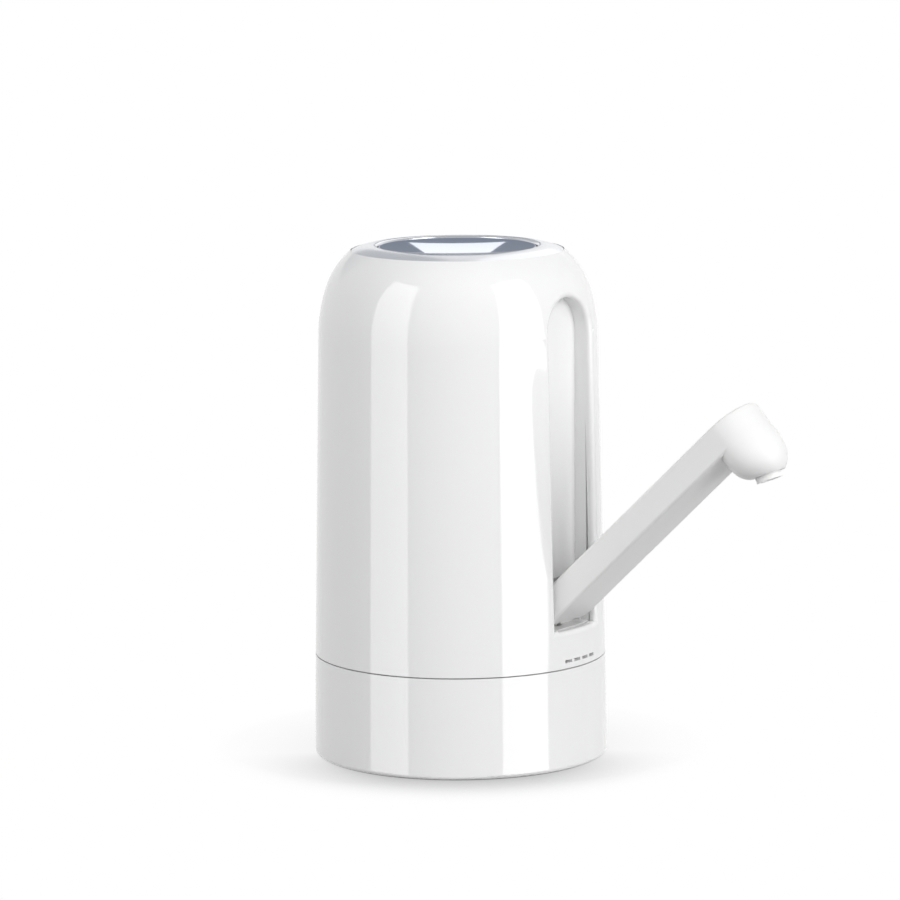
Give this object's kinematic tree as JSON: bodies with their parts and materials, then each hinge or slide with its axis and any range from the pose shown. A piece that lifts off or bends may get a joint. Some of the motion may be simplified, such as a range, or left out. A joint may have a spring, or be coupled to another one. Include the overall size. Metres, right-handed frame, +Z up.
{
  "type": "water jug pump",
  "caption": "Rechargeable pump that stands on the neck of a water jug: tapered round housing, push button on top, and a spout arm that folds up into a recess in its front.",
  "frame": {"origin": "centre of the collar's underside, where the pump stands", "axes": "+Z up along the housing's axis, +X towards the spout arm, +Y across the arm"},
  "size_m": [0.1319, 0.074, 0.1285],
  "materials": {
    "case_plastic": "high gloss moulded ABS, white",
    "arm_plastic": "satin moulded ABS, white",
    "ring_metal": "satin silver plating",
    "button_metal": "polished plating, smoky blue-grey",
    "button_plastic": "moulded ABS",
    "inner_plastic": "moulded ABS",
    "pump_plastic": "moulded polypropylene",
    "crank_plastic": "moulded acetal",
    "nozzle_plastic": "moulded ABS",
    "seal_rubber": "translucent white silicone",
    "valve_rubber": "black rubber",
    "hose_rubber": "food grade silicone",
    "screw_steel": "zinc plated",
    "spring_steel": "bright spring wire",
    "board_laminate": "green solder mask",
    "socket_steel": "tinned sheet",
    "switch_plastic": "moulded black plastic",
    "battery_wrap": "shrink sleeve",
    "tab_nickel": "nickel strip",
    "shaft_steel": "ground steel",
    "can_steel": "drawn steel",
    "cap_plastic": "moulded nylon",
    "bush_bronze": "sintered bronze",
    "magnet_ferrite": "sintered ferrite",
    "core_steel": "electrical sheet",
    "commutator_copper": "copper",
    "winding_copper": "enamelled copper wire",
    "lead_insulation": "wire insulation",
    "chip_plastic": "moulded epoxy",
    "brush_metal": "spring bronze and carbon"
  },
  "bodies": {
    "case": {"base_collar": "case_plastic", "housing": "case_plastic", "top_ring": "ring_metal", "chassis_plate": "inner_plastic", "button_deck": "inner_plastic", "retainer_plate": "inner_plastic", "pump_cover": "pump_plastic", "valve_plate": "pump_plastic", "pump_body": "pump_plastic", "inlet_spigot": "pump_plastic", "neck_seal": "seal_rubber", "inlet_o_ring": "seal_rubber", "inlet_valves": "valve_rubber", "outlet_valve": "valve_rubber", "diaphragm": "valve_rubber", "hose_bend": "hose_rubber", "outlet_hose": "hose_rubber", "case_screws": "screw_steel", "retainer_screws": "screw_steel", "pump_screws": "screw_steel", "deck_screws": "screw_steel", "board_screws": "screw_steel", "button_spring": "spring_steel", "hose_clip": "spring_steel", "control_board": "board_laminate", "usb_socket": "socket_steel", "switch_body": "switch_plastic", "battery_cell": "battery_wrap", "battery_tabs": "tab_nickel", "motor_can": "can_steel", "motor_end_cap": "cap_plastic", "motor_bushes": "bush_bronze", "field_magnets": "magnet_ferrite", "motor_leads": "lead_insulation", "battery_leads": "lead_insulation", "charge_chip": "chip_plastic", "motor_transistor": "chip_plastic", "motor_brushes": "brush_metal"},
    "spout": {"spout_arm": "arm_plastic", "arm_cover": "arm_plastic", "spout_hose": "hose_rubber", "nozzle_insert": "nozzle_plastic"},
    "button": {"button_cap": "button_metal", "button_carrier": "button_plastic", "switch_plunger": "switch_plastic"},
    "rotor": {"rotor_windings": "winding_copper", "motor_shaft": "shaft_steel", "rotor_core": "core_steel", "commutator": "commutator_copper", "eccentric": "crank_plastic", "crank_pin": "shaft_steel"},
    "wobbler": {"wobble_plate": "crank_plastic"}
  },
  "joints": [
    {"name": "spout_fold", "type": "hinge", "parent": "case", "child": "spout", "pos_m": [0.0329, 0, 0.0415], "axis": [0, -1, 0], "range_deg": [0, 47], "deforming": ["hose_bend"]},
    {"name": "button_press", "type": "slide", "parent": "case", "child": "button", "axis": [0, 0, -1], "range_m": [0, 0.0009], "stiffness_N_per_m": 600, "springref_m": -0.003, "deforming": ["button_spring"]},
    {"name": "motor_spin", "type": "hinge", "parent": "case", "child": "rotor", "pos_m": [-0.002, -0.0145, 0], "axis": [0, 0, 1], "continuous": true},
    {"name": "wobble_nutation", "type": "hinge", "parent": "rotor", "child": "wobbler", "pos_m": [-0.002, -0.0145, 0.042], "axis": [0.0872, 0, 0.9962], "continuous": true}
  ],
  "couplings": [
    {"joint": "wobble_nutation", "follows": "motor_spin", "ratio": -1}
  ]
}
